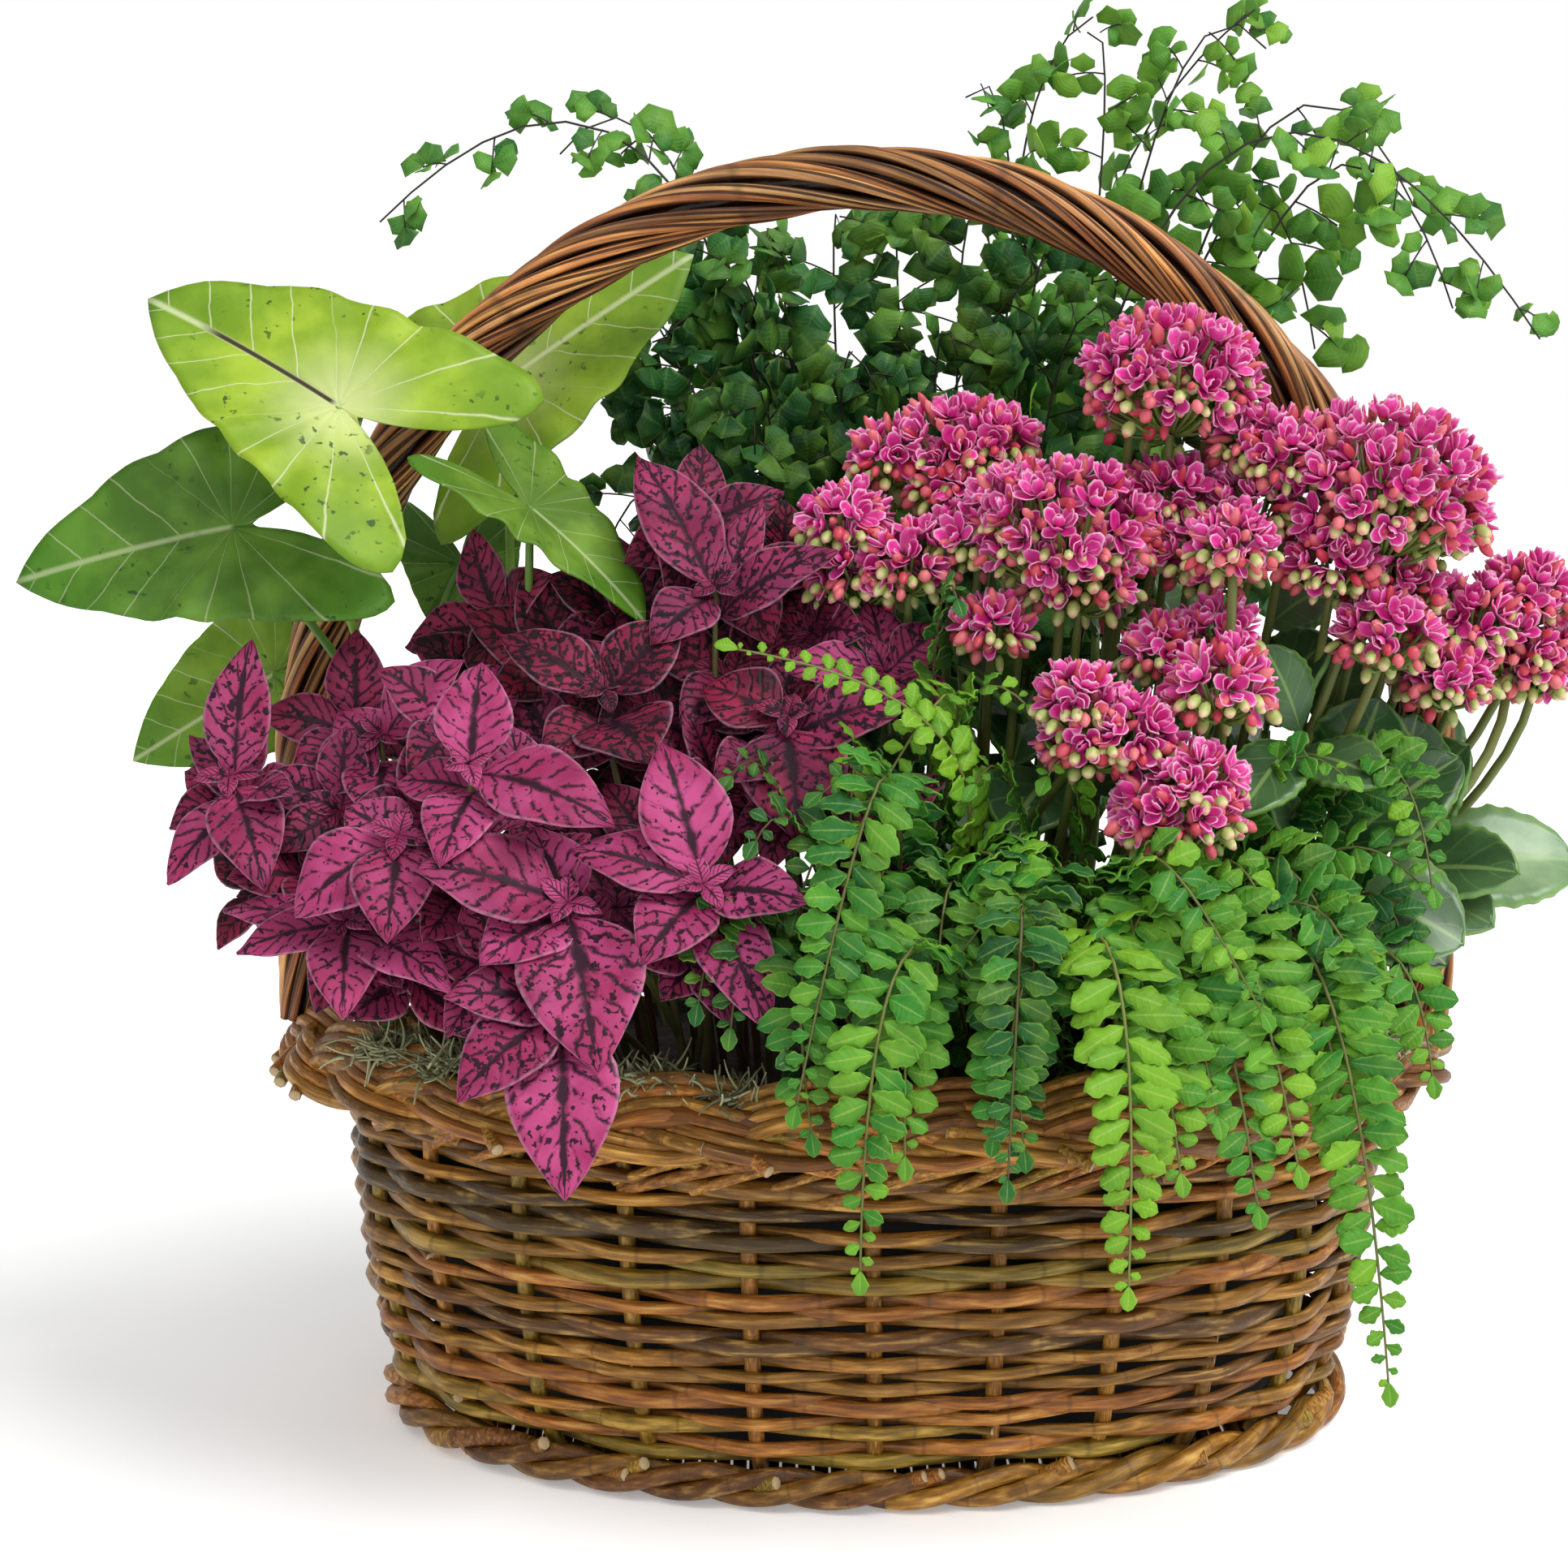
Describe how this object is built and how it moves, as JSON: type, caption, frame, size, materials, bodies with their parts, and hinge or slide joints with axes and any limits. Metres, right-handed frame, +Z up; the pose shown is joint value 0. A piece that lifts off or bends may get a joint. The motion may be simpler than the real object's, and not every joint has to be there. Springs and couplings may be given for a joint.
{
  "type": "planted wicker handle basket",
  "caption": "Oval woven willow basket with a rope-twisted arch handle, filled with soil and planted with ferns, kalanchoe, pink polka-dot and arrowhead plants.",
  "frame": {"origin": "middle of the basket's flat underside, where it rests", "axes": "+X along the basket's length to the kalanchoe's end, +Y towards the back, +Z up"},
  "size_m": [0.4488, 0.3062, 0.4173],
  "materials": {
    "willow_weave": "dull, unpeeled willow, brown to ochre",
    "willow_foot": "dull thick willow rods, darker",
    "willow_border": "dull willow, ochre brown",
    "willow_handle": "smooth stripped willow, warm orange brown with a soft sheen",
    "willow_cut_end": "pale sawn willow",
    "liner": "matt black film",
    "soil": null,
    "moss": "dry grey-green moss",
    "arrowhead_leaf": "satin lime green with cream veins",
    "arrowhead_stem": "smooth green",
    "polka_dot_leaf": "soft satin pink with dark red and green speckles",
    "polka_dot_stem": "dull brown green",
    "kalanchoe_flower": "matt magenta petals, paler at the edges",
    "kalanchoe_bud": "smooth coral and cream green",
    "kalanchoe_leaf": "fleshy, satin dark green",
    "kalanchoe_stem": "smooth green",
    "fern_leaf": "satin bright green",
    "fern_stem": "dull green brown",
    "maidenhair_leaf": "thin, dull dark green",
    "maidenhair_stem": "thin, wiry, black brown"
  },
  "bodies": {
    "root": {"basket_weave": "willow_weave", "basket_foot": "willow_foot", "basket_border": "willow_border", "handle": "willow_handle", "liner": "liner", "soil": "soil", "arrowhead_leaf_1": "arrowhead_leaf", "arrowhead_leaf_2": "arrowhead_leaf", "arrowhead_leaf_3": "arrowhead_leaf", "arrowhead_leaf_4": "arrowhead_leaf", "arrowhead_leaf_5": "arrowhead_leaf", "arrowhead_leaf_6": "arrowhead_leaf", "kalanchoe_head_01": "kalanchoe_flower", "kalanchoe_head_02": "kalanchoe_flower", "kalanchoe_head_03": "kalanchoe_flower", "kalanchoe_head_04": "kalanchoe_flower", "kalanchoe_head_05": "kalanchoe_flower", "kalanchoe_head_06": "kalanchoe_flower", "kalanchoe_head_07": "kalanchoe_flower", "kalanchoe_head_08": "kalanchoe_flower", "kalanchoe_head_09": "kalanchoe_flower", "kalanchoe_head_10": "kalanchoe_flower", "kalanchoe_head_11": "kalanchoe_flower", "kalanchoe_head_12": "kalanchoe_flower", "kalanchoe_head_13": "kalanchoe_flower", "polka_dot_stem_01": "polka_dot_leaf", "polka_dot_stem_02": "polka_dot_leaf", "polka_dot_stem_03": "polka_dot_leaf", "polka_dot_stem_04": "polka_dot_leaf", "polka_dot_stem_05": "polka_dot_leaf", "polka_dot_stem_06": "polka_dot_leaf", "polka_dot_stem_07": "polka_dot_leaf", "polka_dot_stem_08": "polka_dot_leaf", "polka_dot_stem_09": "polka_dot_leaf", "polka_dot_stem_10": "polka_dot_leaf", "polka_dot_stem_11": "polka_dot_leaf", "polka_dot_stem_12": "polka_dot_leaf", "kalanchoe_stem_1": "kalanchoe_leaf", "kalanchoe_stem_2": "kalanchoe_leaf", "kalanchoe_stem_3": "kalanchoe_leaf", "kalanchoe_stem_4": "kalanchoe_leaf", "fern_frond_01": "fern_leaf", "fern_frond_02": "fern_leaf", "fern_frond_03": "fern_leaf", "fern_frond_04": "fern_leaf", "fern_frond_05": "fern_leaf", "fern_frond_06": "fern_leaf", "fern_frond_07": "fern_leaf", "fern_frond_08": "fern_leaf", "fern_frond_09": "fern_leaf", "fern_frond_10": "fern_leaf", "maidenhair_frond_1": "maidenhair_leaf", "maidenhair_frond_2": "maidenhair_leaf", "maidenhair_frond_3": "maidenhair_leaf", "maidenhair_frond_4": "maidenhair_leaf", "maidenhair_frond_5": "maidenhair_leaf", "maidenhair_frond_6": "maidenhair_leaf", "maidenhair_frond_7": "maidenhair_leaf", "maidenhair_frond_8": "maidenhair_leaf", "maidenhair_frond_9": "maidenhair_leaf"}
  },
  "joints": []
}
